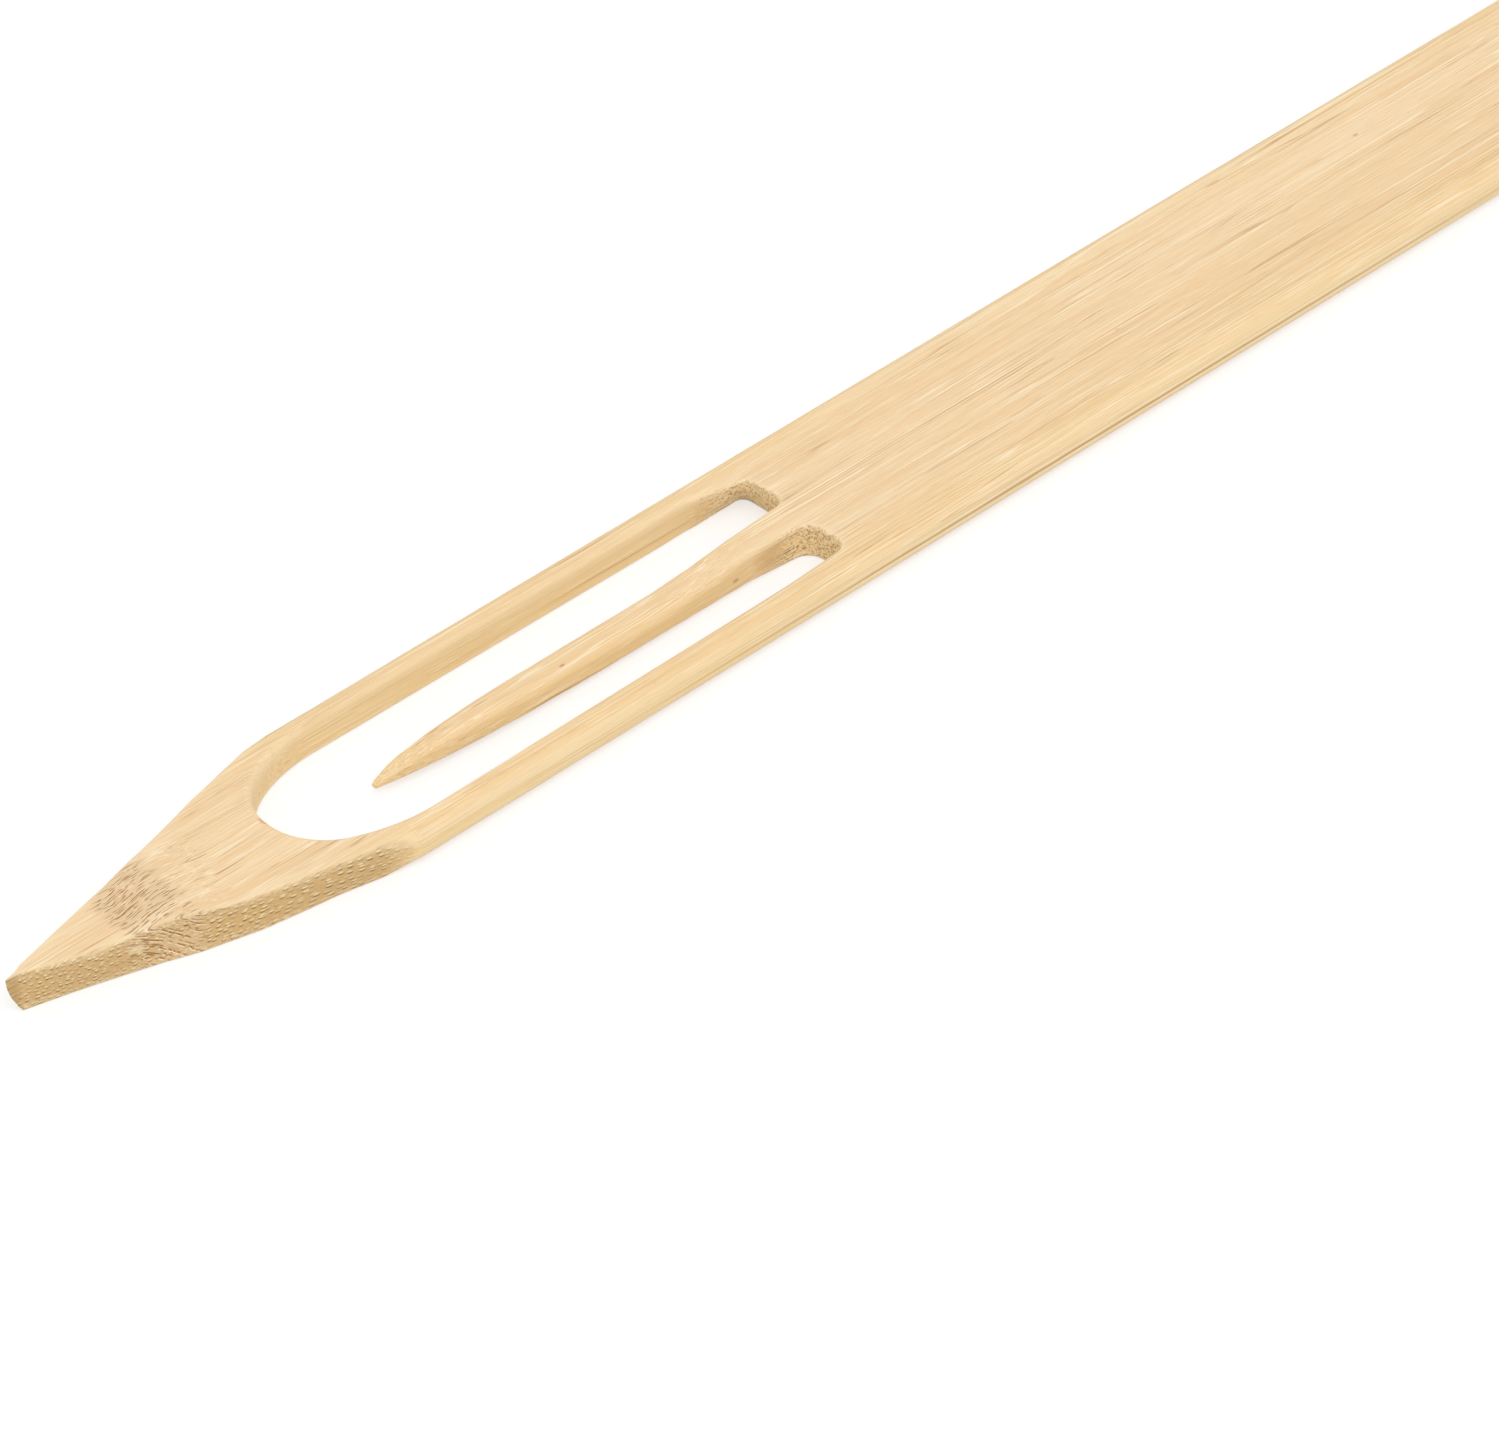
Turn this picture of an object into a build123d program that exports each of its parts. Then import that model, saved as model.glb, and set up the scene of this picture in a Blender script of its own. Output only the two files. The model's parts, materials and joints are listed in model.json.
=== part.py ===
"""Netting needle cut from one strip of bamboo culm wall.

The needle lies flat. +X points along it to the point, +Y across it, +Z up out of its face.
The origin is in the middle of the underside. Lengths are in millimetres.
The blade is the whole strip but for its tongue. The tongue is the springy finger inside the eye,
cut from the same strip, and it starts where it bends: at its flex line, just ahead of its root.
"""
import os
from math import cos, radians, sin

from build123d import *

# Strip of bamboo
needle_length = 230.0
strip_width = 20.0
strip_thickness = 3.5
long_edge_radius = 1.4

# Point, measured back from the tip
point_length = 38.5
tip_width = 1.9
tip_bevel = 0.5
knee_width = 9.3
knee_round = 12.0
node_from_tip = 16.4
node_length = 13.0
node_rise = 0.6

# Eye, the long window that the tongue stands in
eye_front_from_tip = 29.9
eye_length = 64.0
eye_nose_radius = 6.6
eye_nose_turn = 65.0
rail_front_width = 2.1
rail_rear_width = 2.6
slot_end_radius = 2.3

# Tongue, which springs up and down inside the eye
tongue_length = 51.8
tongue_width = 3.3
tongue_thickness = 2.75
tongue_edge_radius = 1.0
tongue_tip_width = 0.8
tongue_tip_thickness = 0.8
tongue_tip_height = 0.4
flex_line_share = 0.15

# Heel fork, which the twine is wound round
notch_width = 9.0
notch_depth = 13.0
prong_outer_radius = 3.2
prong_inner_share = 0.3

# Softened edges of the eye, the point and the fork, and the overrun of every cut
edge_break = 0.3
overrun = 2.0

# Tongue's form: its number of sections, how far its deep root reaches along it, and how late each
# taper starts, where a higher power starts nearer to the tip
tongue_sections = 16
root_share = 0.45
width_power = 4
edge_power = 5
thickness_power = 7

# Quarter turn, in degrees
quarter_turn = 90

# Places along X
tip_x = needle_length / 2
heel_x = -needle_length / 2
shoulder_x = tip_x - point_length
node_x = tip_x - node_from_tip
eye_front_x = tip_x - eye_front_from_tip
eye_rear_x = eye_front_x - eye_length
tongue_tip_x = eye_rear_x + tongue_length
flex_x = eye_rear_x + tongue_length * flex_line_share

os.makedirs("parts", exist_ok=True)


def cut_through(sketch):
    """Cut a sketch that lies one overrun under the needle right through it."""
    extrude(sketch, amount=strip_thickness + node_rise + 2 * overrun, mode=Mode.SUBTRACT)


# The blade starts as the strip with the fork in its heel: a round-bottomed notch between two prongs
with BuildPart() as blade:
    with BuildSketch() as strip_outline:
        Rectangle(needle_length, strip_width)
        fillet(strip_outline.vertices().group_by(Axis.X)[0], radius=prong_outer_radius)
        with Locations((heel_x + notch_depth - notch_width / 2, 0)):
            Circle(notch_width / 2, mode=Mode.SUBTRACT)
            Rectangle(
                notch_depth - notch_width / 2,
                notch_width,
                align=(Align.MAX, Align.CENTER),
                mode=Mode.SUBTRACT,
            )
        prong_width = (strip_width - notch_width) / 2
        mouth_corners = strip_outline.vertices().group_by(Axis.X)[0].filter_by_position(
            Axis.Y, -notch_width / 2, notch_width / 2
        )
        fillet(mouth_corners, radius=prong_width * prong_inner_share)
    extrude(amount=strip_thickness)

    # The strip's long edges are rounded, and the fork's with them, so that no twine frays there
    strip_rim = blade.faces().filter_by(Axis.Z).edges()
    fillet(strip_rim - strip_rim.filter_by(Axis.Y).group_by(Axis.X)[-1], radius=long_edge_radius)

    # The culm's node leaves a low swelling across the point
    foot = node_length / 2
    crown_height = strip_thickness + node_rise
    with BuildSketch(Plane.XZ) as node_swelling:
        with BuildLine():
            rise = TangentArc(
                (node_x - foot, strip_thickness),
                (node_x - foot / 2, strip_thickness + node_rise / 2),
                tangent=(1, 0),
            )
            crown = ThreePointArc(
                rise @ 1,
                (node_x, crown_height),
                (node_x + foot / 2, strip_thickness + node_rise / 2),
            )
            fall = TangentArc(crown @ 1, (node_x + foot, strip_thickness), tangent=crown % 1)
            Polyline(
                fall @ 1,
                (node_x + foot, strip_thickness / 2),
                (node_x - foot, strip_thickness / 2),
                rise @ 0,
            )
        make_face()
    extrude(amount=strip_width / 2 - long_edge_radius, both=True)

    # Two cuts a side shape the point: blunt tip to knee at the node, and knee to shoulder. They run
    # into each other at the knee without a crease
    half_strip = strip_width / 2
    cut_slope = (half_strip - knee_width / 2) / (node_x - shoulder_x)
    with BuildSketch(Plane.XY.offset(-overrun)) as point_waste:
        with BuildLine():
            Polyline(
                (shoulder_x - overrun / cut_slope, half_strip + overrun),
                (node_x, knee_width / 2),
                (tip_x - tip_bevel, tip_width / 2),
                (tip_x, tip_width / 2 - tip_bevel),
                (tip_x + overrun, tip_width / 2 - tip_bevel),
                (tip_x + overrun, half_strip + overrun),
                close=True,
            )
        make_face()
        knee = point_waste.vertices().filter_by_position(Axis.X, node_x, node_x)
        fillet(knee, radius=knee_round)
        mirror(about=Plane.XZ)
    cut_through(point_waste.sketch)

    # The eye runs from a round nose to two slots, one on each side of the tongue's root
    turn = radians(eye_nose_turn)
    nose_x = eye_front_x - eye_nose_radius
    nose_half_width = eye_nose_radius * sin(turn)
    front_half_width = half_strip - rail_front_width
    rear_half_width = half_strip - rail_rear_width
    flank_radius = (front_half_width - nose_half_width) / (1 - sin(turn))
    nose_end_x = nose_x + eye_nose_radius * cos(turn)
    with BuildSketch(Plane.XY.offset(-overrun)) as eye_opening:
        with BuildLine():
            nose = CenterArc((nose_x, 0), eye_nose_radius, 0, eye_nose_turn)
            flank = TangentArc(
                nose @ 1,
                (nose_end_x - flank_radius * cos(turn), front_half_width),
                tangent=nose % 1,
            )
            Polyline(
                flank @ 1,
                (eye_rear_x, rear_half_width),
                (eye_rear_x, tongue_width / 2),
                (flex_x, tongue_width / 2),
                (flex_x, 0),
            )
            mirror(about=Plane.XZ)
        make_face()
        fillet(eye_opening.vertices().group_by(Axis.X)[0], radius=slot_end_radius)
    cut_through(eye_opening.sketch)

    # The edges of the eye and the point are softened a little, but not those that the tongue meets
    flat_rims = blade.faces().filter_by(Axis.Z).edges()
    point_rim = flat_rims.filter_by_position(Axis.X, eye_front_x, tip_x)
    eye_rim = flat_rims.filter_by_position(Axis.X, eye_rear_x, eye_front_x, (False, False))
    cut_rim = (point_rim + eye_rim).filter_by(lambda edge: abs((edge @ 0.5).Y) > edge_break)
    fillet(cut_rim, radius=edge_break)

blade.part.label = "blade"
export_step(blade.part, "parts/blade.step")

# The tongue starts as deep as the strip, thins to a springy bar and tapers to a blunt tip
free_length = tongue_tip_x - flex_x
tip_edge_radius = tongue_tip_thickness / 4
spare_width = tongue_width - tongue_tip_width
spare_depth = tongue_thickness - tongue_tip_thickness
root_depth = strip_thickness - tongue_thickness


def taper(place, power):
    """Share of the full size left at a place from 0, the flex line, to 1, the tip."""
    return (1 - place**power) ** 0.75


def root(place):
    """Share of the root's extra depth left at a place along the tongue."""
    return max(0, 1 - place / root_share) ** 2


with BuildPart() as tongue:
    for step in range(tongue_sections):
        # The sections stand closer together towards the tip
        place = sin(radians(quarter_turn) * step / (tongue_sections - 1))
        width = tongue_tip_width + spare_width * taper(place, width_power)
        depth = tongue_tip_thickness + spare_depth * taper(place, thickness_power)
        depth += root_depth * root(place)
        edge_radius = tip_edge_radius + (tongue_edge_radius - tip_edge_radius) * taper(place, edge_power)
        edge_radius += (edge_break - tongue_edge_radius) * root(place)
        underside = tongue_tip_height * place**3
        with BuildSketch(Plane.YZ.offset(flex_x + free_length * place)):
            with Locations((0, underside + depth / 2)):
                RectangleRounded(width, depth, edge_radius)
    loft(ruled=True)

tongue.part.label = "tongue"
export_step(tongue.part, "parts/tongue.step")
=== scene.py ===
"""Looks of a netting needle whittled from one strip of bamboo culm wall.

Two pieces are dressed here: the blade, with its point, eye and heel fork, and the springy tongue that
stands in the eye. +X runs to the point, +Y across and +Z up out of the face. Sizes are in millimetres,
and become metres where a mesh is made.
"""
import json
import logging
import math
from dataclasses import dataclass, fields
from enum import Enum

import bpy
import numpy as np
from mathutils import Matrix, Vector, geometry, kdtree


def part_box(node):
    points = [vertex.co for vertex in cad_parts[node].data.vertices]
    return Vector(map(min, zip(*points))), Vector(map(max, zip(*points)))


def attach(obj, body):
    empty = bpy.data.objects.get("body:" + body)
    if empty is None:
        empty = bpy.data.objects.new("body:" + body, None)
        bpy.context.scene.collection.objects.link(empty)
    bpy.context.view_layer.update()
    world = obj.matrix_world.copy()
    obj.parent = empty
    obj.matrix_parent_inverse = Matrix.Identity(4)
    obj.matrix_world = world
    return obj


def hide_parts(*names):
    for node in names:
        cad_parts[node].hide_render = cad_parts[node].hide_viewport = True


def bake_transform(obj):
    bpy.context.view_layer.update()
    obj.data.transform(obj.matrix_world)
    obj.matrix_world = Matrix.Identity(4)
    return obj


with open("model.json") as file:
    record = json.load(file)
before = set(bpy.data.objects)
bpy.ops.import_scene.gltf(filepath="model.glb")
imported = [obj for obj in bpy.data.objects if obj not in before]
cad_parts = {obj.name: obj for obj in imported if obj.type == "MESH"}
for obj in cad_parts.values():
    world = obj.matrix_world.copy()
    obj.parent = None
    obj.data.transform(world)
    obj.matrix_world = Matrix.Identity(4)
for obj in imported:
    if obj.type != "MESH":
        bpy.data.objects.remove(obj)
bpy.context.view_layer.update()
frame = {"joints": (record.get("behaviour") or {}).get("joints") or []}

logging.basicConfig(level=logging.INFO, format="%(message)s")
log = logging.getLogger("netting_needle")

MM = 0.001
QUARTER_TURN = math.pi / 2
SHARP_ANGLE = math.radians(50)
# Length beside the flex line in which the relief fades out, so that no step shows at the joint
SEAM_REACH = 2.0
Colour = tuple[float, float, float, float]
Size = tuple[float, float, float]
Span = tuple[float, float]


def paint(red: float, green: float, blue: float) -> Colour:
    """Turn a display colour into linear light.

    Args:
        red: Red from 0 to 255.
        green: Green from 0 to 255.
        blue: Blue from 0 to 255.

    Returns:
        The linear colour with full alpha.
    """
    shares = [channel / 255 for channel in (red, green, blue)]
    linear = [((share + 0.055) / 1.055) ** 2.4 for share in shares]
    return (*linear, 1.0)


def ease(values: np.ndarray, start: float, end: float) -> np.ndarray:
    """Rise smoothly from 0 at start to 1 at end.

    Args:
        values: Places to ease.
        start: Place where the rise begins.
        end: Place where it is done. It may lie before start.

    Returns:
        The eased share at each place.
    """
    share = np.clip((values - start) / (end - start), 0, 1)
    return share * share * (3 - 2 * share)


def round_drop(depth: np.ndarray, radius: np.ndarray) -> np.ndarray:
    """How far a rounded edge has dropped below its face.

    Args:
        depth: Distance in from the wall.
        radius: Radius of the edge.

    Returns:
        The drop, which is the radius at the wall and zero one radius in.
    """
    missing = np.clip(radius - depth, 0, radius)
    return radius - np.sqrt(np.maximum(radius**2 - missing**2, 0))


@dataclass(frozen=True)
class Term:
    """Number, vector or colour that a node tree works out, so that a formula reads as one."""

    graph: "Graph"
    socket: bpy.types.NodeSocket

    def __add__(self, other: "Term | float") -> "Term":
        """Sum of two numbers."""
        return self.graph.math("ADD", self, other)

    def __sub__(self, other: "Term | float") -> "Term":
        """Difference of two numbers."""
        return self.graph.math("SUBTRACT", self, other)

    def __rsub__(self, other: float) -> "Term":
        """Difference from a plain number."""
        return self.graph.math("SUBTRACT", other, self)

    def __mul__(self, other: "Term | float") -> "Term":
        """Product of two numbers."""
        return self.graph.math("MULTIPLY", self, other)

    def __truediv__(self, other: "Term | float") -> "Term":
        """Quotient of two numbers."""
        return self.graph.math("DIVIDE", self, other)

    def __pow__(self, other: float) -> "Term":
        """Power of a number."""
        return self.graph.math("POWER", self, other)

    __radd__ = __add__
    __rmul__ = __mul__


class Graph:
    """Node tree that is written as formulas, for a material or for geometry."""

    def __init__(self, tree: bpy.types.NodeTree) -> None:
        """Start from an empty tree."""
        self.tree = tree
        tree.nodes.clear()

    def node(self, kind: str, **settings: object) -> bpy.types.Node:
        """Add a node.

        Args:
            kind: Blender's name of the node type.
            settings: Properties of the node.

        Returns:
            The node.
        """
        made = self.tree.nodes.new(kind)
        for name, value in settings.items():
            setattr(made, name, value)
        return made

    def feed(self, socket: bpy.types.NodeSocket, value: "Term | float | Colour") -> None:
        """Link a term to an input, or set the input to a plain value.

        Args:
            socket: Input of a node.
            value: What it takes.
        """
        if isinstance(value, Term):
            self.tree.links.new(value.socket, socket)
        else:
            socket.default_value = value

    def math(self, operation: str, *values: "Term | float") -> Term:
        """Work out one number.

        Args:
            operation: Name of the operation.
            values: One to three operands.

        Returns:
            The result.
        """
        made = self.node("ShaderNodeMath", operation=operation)
        for socket, value in zip(made.inputs, values):
            self.feed(socket, value)
        return Term(self, made.outputs[0])

    def vector(self, x: "Term | float", y: "Term | float", z: "Term | float" = 0.0) -> Term:
        """Join three numbers into a vector.

        Args:
            x: First number.
            y: Second number.
            z: Third number.

        Returns:
            The vector.
        """
        made = self.node("ShaderNodeCombineXYZ")
        for socket, value in zip(made.inputs, (x, y, z)):
            self.feed(socket, value)
        return Term(self, made.outputs[0])

    def axes(self, vector: Term) -> tuple[Term, Term, Term]:
        """Split a vector.

        Args:
            vector: Vector to split.

        Returns:
            Its three numbers.
        """
        made = self.node("ShaderNodeSeparateXYZ")
        self.feed(made.inputs[0], vector)
        return tuple(Term(self, socket) for socket in made.outputs)

    def step(self, value: Term, start: float, end: float, low: float = 0.0, high: float = 1.0) -> Term:
        """Rise smoothly between two levels.

        Args:
            value: Number to look at.
            start: Where the rise begins.
            end: Where it is done. It may lie below start.
            low: Level before the rise.
            high: Level after it.

        Returns:
            The level.
        """
        made = self.node("ShaderNodeMapRange", interpolation_type="SMOOTHSTEP")
        names = ("Value", "From Min", "From Max", "To Min", "To Max")
        for name, setting in zip(names, (value, start, end, low, high)):
            self.feed(made.inputs[name], setting)
        return Term(self, made.outputs["Result"])

    def noise(self, place: Term, detail: float = 2.0, roughness: float = 0.5) -> bpy.types.Node:
        """Add a smooth three-dimensional noise whose grains are about one unit wide.

        Args:
            place: Where to read it.
            detail: Number of finer layers.
            roughness: Share of each finer layer.

        Returns:
            The node, with outputs for a number and for three numbers as a colour.
        """
        made = self.node("ShaderNodeTexNoise", noise_dimensions="3D")
        self.feed(made.inputs["Vector"], place)
        self.feed(made.inputs["Scale"], 1.0)
        self.feed(made.inputs["Detail"], detail)
        self.feed(made.inputs["Roughness"], roughness)
        return made

    def cloud(self, place: Term, size: Size, detail: float = 2.0, roughness: float = 0.5) -> Term:
        """Read one number from a noise that is drawn out along the axes.

        Args:
            place: Where to read it.
            size: Size of its grains along X, Y and Z.
            detail: Number of finer layers.
            roughness: Share of each finer layer.

        Returns:
            A number around one half.
        """
        parts = [axis / length for axis, length in zip(self.axes(place), size)]
        return Term(self, self.noise(self.vector(*parts), detail, roughness).outputs[0])

    def spot(self, across: Term, along: Term, inner: float, outer: float, low: float = 0.0) -> Term:
        """Fall from 1 at a centre to 0 at a distance.

        Args:
            across: First distance from the centre.
            along: Second distance from it.
            inner: Radius of the full spot.
            outer: Radius where it ends.
            low: How far the spot lies below the centre, along the second distance.

        Returns:
            The share of the spot.
        """
        lower = along + low
        return self.step(self.math("SQRT", across * across + lower * lower), outer, inner)

    def cells(self, place: Term) -> tuple[Term, Term, Term]:
        """Add flat Voronoi cells about one unit wide.

        Args:
            place: Where to read them.

        Returns:
            The two distances from the cell's centre, and a random number of its own for each cell.
        """
        made = self.node("ShaderNodeTexVoronoi", voronoi_dimensions="2D", feature="F1")
        self.feed(made.inputs["Vector"], place)
        self.feed(made.inputs["Scale"], 1.0)
        self.feed(made.inputs["Randomness"], 0.8)
        x, y, _ = self.axes(place)
        centre_x, centre_y, _ = self.axes(Term(self, made.outputs["Position"]))
        chance = self.axes(Term(self, made.outputs["Color"]))[0]
        return x - centre_x, y - centre_y, chance

    def tint(self, share: "Term | float", below: "Term | Colour", above: "Term | Colour") -> Term:
        """Mix two colours.

        Args:
            share: Share of the second colour.
            below: First colour.
            above: Second colour.

        Returns:
            The mixed colour.
        """
        made = self.node("ShaderNodeMix", data_type="RGBA", clamp_factor=True)
        inputs = [socket for socket in made.inputs if socket.enabled]
        for socket, value in zip(inputs, (share, below, above)):
            self.feed(socket, value)
        return Term(self, next(socket for socket in made.outputs if socket.enabled))


class GeometryTree(Graph):
    """Geometry tree with named inputs for its sizes and its material."""

    def __init__(self, name: str, sizes: dict[str, float], takes_mesh: bool) -> None:
        """Open the tree.

        Args:
            name: Name of the tree.
            sizes: Sizes that it takes, by the names of its inputs.
            takes_mesh: Whether it works on the mesh that it is given.
        """
        super().__init__(bpy.data.node_groups.new(name, "GeometryNodeTree"))
        sockets = [("Geometry", "OUTPUT", "NodeSocketGeometry")]
        if takes_mesh:
            sockets.append(("Geometry", "INPUT", "NodeSocketGeometry"))
        sockets.append(("Material", "INPUT", "NodeSocketMaterial"))
        sockets += [(size, "INPUT", "NodeSocketFloat") for size in sizes]
        for label, direction, kind in sockets:
            self.tree.interface.new_socket(label, in_out=direction, socket_type=kind)
        self.given = self.node("NodeGroupInput")
        self.size = {size: Term(self, self.given.outputs[size]) for size in sizes}

    def attribute(self, name: str, kind: str) -> Term:
        """Read one of the piece's own attributes.

        Args:
            name: Name of the attribute.
            kind: Blender's name of its data type.

        Returns:
            The attribute's value.
        """
        made = self.node("GeometryNodeInputNamedAttribute", data_type=kind)
        made.inputs["Name"].default_value = name
        return Term(self, next(socket for socket in made.outputs if socket.enabled))

    def close(self, geometry_socket: bpy.types.NodeSocket) -> None:
        """End the tree: make its copies real, give them their material and pass them out.

        Args:
            geometry_socket: What the tree has made.
        """
        real = self.node("GeometryNodeRealizeInstances")
        dressed = self.node("GeometryNodeSetMaterial")
        output = self.node("NodeGroupOutput")
        self.tree.links.new(geometry_socket, real.inputs[0])
        self.tree.links.new(real.outputs[0], dressed.inputs["Geometry"])
        self.tree.links.new(self.given.outputs["Material"], dressed.inputs["Material"])
        self.tree.links.new(dressed.outputs[0], output.inputs[0])


def tree_sizes(piece: object) -> dict[str, float]:
    """Sizes that a piece's geometry tree takes.

    Args:
        piece: Dataclass of the piece.

    Returns:
        The fields that hold one number, by the names of the tree's inputs.
    """
    return {
        part.name.replace("_", " ").capitalize(): getattr(piece, part.name)
        for part in fields(piece)
        if part.type is float
    }


@dataclass(frozen=True)
class Fibres:
    """Solid pattern of a culm wall: strands that run along X, seen as lines, dashes or dots.

    Args:
        strand_width: Distance between strands across the blade.
        strand_depth: Distance between them through it, at the skin.
        thinning: How fast they thin out away from the skin.
        drift_length: Length in which the strands wander once.
        drift_breadth: Breadth over which they wander alike.
        sideways_drift: How far they wander across.
        upward_drift: How far they wander up and down.
        scar_x: Place of the node's rough band on the middle line.
        scar_slant: How far the band moves along X for each millimetre across.
        scar_reach: Distances from its middle where it starts to fade and where it ends.
        scar_waver: How far its ragged border wavers.
        ragged_size: Size of the waves of that border.
        streak: Length and width of the room for each streak in the band.
    """

    strand_width: float = 0.21
    strand_depth: float = 0.3
    thinning: float = 0.16
    drift_length: float = 16.0
    drift_breadth: float = 4.0
    sideways_drift: float = 0.5
    upward_drift: float = 0.5
    scar_x: float = 100.2
    scar_slant: float = 0.1
    scar_reach: Span = (2.2, 4.2)
    scar_waver: float = 3.5
    ragged_size: Size = (3.0, 0.5, 0.8)
    streak: tuple[float, float] = (1.7, 0.24)

    def strands(self, graph: Graph, place: Term) -> tuple[Term, Term]:
        """Find the strand at a place. Strands stand closer together towards the skin, at Z zero.

        Args:
            graph: Tree to build in.
            place: Place in the blade at rest.

        Returns:
            The share of the pale core, and that of the dark mark under it: the strand's own dark rim, and
            painted shadow under the raised strand.
        """
        x, y, z = graph.axes(place)
        slow = graph.vector(x / self.drift_length, y / self.drift_breadth, z / self.drift_breadth)
        sideways, upward, _ = graph.axes(Term(graph, graph.noise(slow, detail=1.0).outputs["Color"]))
        across = (y + (sideways - 0.5) * self.sideways_drift) / self.strand_width
        height = (z + (upward - 0.5) * self.upward_drift) * self.thinning + 1.0
        through = graph.math("LOGARITHM", height, math.e) / (self.strand_depth * self.thinning)
        side, up, chance = graph.cells(graph.vector(across, through))
        vigour = graph.step(chance, 0.0, 0.8, 0.35, 1.0)
        core = graph.spot(side, up, 0.14, 0.38) * vigour
        # The dark mark sits below each core: the strand's own dark rim, and painted shadow under the raised
        # strand
        sheath = graph.spot(side, up, 0.16, 0.4, low=0.32) * (1 - core) * vigour
        return core, sheath

    def scar(self, graph: Graph, place: Term) -> tuple[Term, Term, Term]:
        """Find the rough band where the culm's node was cut away.

        Args:
            graph: Tree to build in.
            place: Place in the blade at rest.

        Returns:
            The share of the band, and in it those of the dark streaks and of the pale ones beside them.
        """
        x, y, z = graph.axes(place)
        ragged = graph.cloud(place, self.ragged_size)
        off = graph.math("ABSOLUTE", x - y * self.scar_slant - self.scar_x)
        off = off + (ragged - 0.5) * self.scar_waver
        band = graph.step(off, self.scar_reach[1], self.scar_reach[0])
        long, wide = self.streak
        along, side, chance = graph.cells(graph.vector(x / long + ragged * 4, (y + z * 0.7) / wide))
        there = graph.step(chance, 0.15, 0.5)
        dark = graph.spot(along, side * 1.5, 0.2, 0.46) * there
        pale = graph.spot(along, side * 1.5, 0.2, 0.5, low=0.55) * there * (1 - dark)
        return band, dark * band, pale * band


FIBRES = Fibres()


@dataclass(frozen=True)
class Mark:
    """Stain, chip or speck in the wood, drawn out along the fibres, or a spot of painted corner shade.

    Args:
        x: Place of its middle along the needle.
        y: Place across it.
        z: Height of it.
        length: Length along the fibres.
        width: Width across them.
        colour: Colour of the mark.
        strength: How far the colour covers the wood.
    """

    x: float
    y: float
    z: float
    length: float
    width: float
    colour: Colour
    strength: float = 0.8

    def share(self, graph: Graph, place: Term) -> Term:
        """Work out how far the mark covers the wood.

        Args:
            graph: Tree to build in.
            place: Place in the needle at rest.

        Returns:
            The share, which is at most the mark's strength.
        """
        x, y, z = graph.axes(place)
        across = graph.math("SQRT", (y - self.y) ** 2 + (z - self.z) ** 2) * (2 / self.width)
        return graph.spot((x - self.x) * (2 / self.length), across, 0.4, 1.2) * self.strength


BROWN = paint(176, 128, 78)
RUST = paint(206, 140, 96)
CREAM = paint(255, 236, 200)
MARKS = (
    Mark(51.4, 1.2, 2.9, 0.9, 0.35, BROWN),
    Mark(45.1, 0.5, 3.0, 0.8, 0.3, BROWN, 0.6),
    Mark(30.8, 2.0, 1.5, 0.9, 0.5, BROWN, 0.6),
    Mark(48.2, 9.15, 3.2, 0.8, 0.35, BROWN, 0.7),
    Mark(-18.9, 1.9, 3.5, 0.5, 0.3, BROWN, 0.3),
    Mark(-58.0, -3.6, 3.5, 0.8, 0.4, BROWN, 0.5),
    Mark(84.9, -0.7, 3.3, 1.2, 1.5, RUST, 0.7),
    Mark(98.9, -2.9, 4.0, 1.6, 0.6, BROWN),
    Mark(101.8, -2.0, 4.0, 2.6, 0.5, BROWN),
    Mark(103.4, 3.3, 2.2, 2.2, 1.2, CREAM, 0.45),
    Mark(103.9, 3.2, 1.7, 1.5, 0.4, BROWN, 0.9),
    Mark(102.6, 3.5, 2.7, 1.2, 0.4, BROWN, 0.8),
    Mark(92.8, 1.85, 3.5, 8.0, 0.16, BROWN, 0.8),
    Mark(93.2, -3.4, 3.5, 9.0, 0.14, BROWN, 0.6),
    # Rust-brown spots in the two slots, by their corners: dark chisel marks, and painted shade in the
    # corners
    Mark(22.9, -5.4, 3.4, 1.6, 0.9, RUST, 0.45),
    Mark(25.1, 4.9, 3.0, 1.5, 0.9, RUST, 0.35),
    Mark(70.0, 3.0, 0.0, 1.4, 0.5, BROWN, 0.5),
    Mark(-70.0, 2.0, 0.0, 1.1, 0.4, BROWN, 0.5),
    Mark(-25.0, -9.05, 3.15, 190.0, 0.3, BROWN, 0.5),
    Mark(-30.0, -8.6, 3.4, 170.0, 0.25, CREAM, 0.7),
    Mark(-12.0, 10.0, 1.85, 130.0, 0.2, CREAM, 0.9),
    Mark(-10.0, 10.0, 1.5, 140.0, 0.24, BROWN, 0.7),
    Mark(-16.0, 10.0, 1.15, 120.0, 0.18, CREAM, 0.7),
    Mark(25.0, 9.9, 2.3, 90.0, 0.2, BROWN, 0.5),
    Mark(50.0, -7.5, 1.5, 60.0, 0.2, CREAM, 0.8),
    Mark(52.0, -7.5, 1.1, 64.0, 0.24, BROWN, 0.7),
    Mark(45.0, 2.0, 1.2, 50.0, 0.22, CREAM, 0.8),
    Mark(47.0, 2.0, 0.85, 50.0, 0.24, BROWN, 0.7),
)


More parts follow.
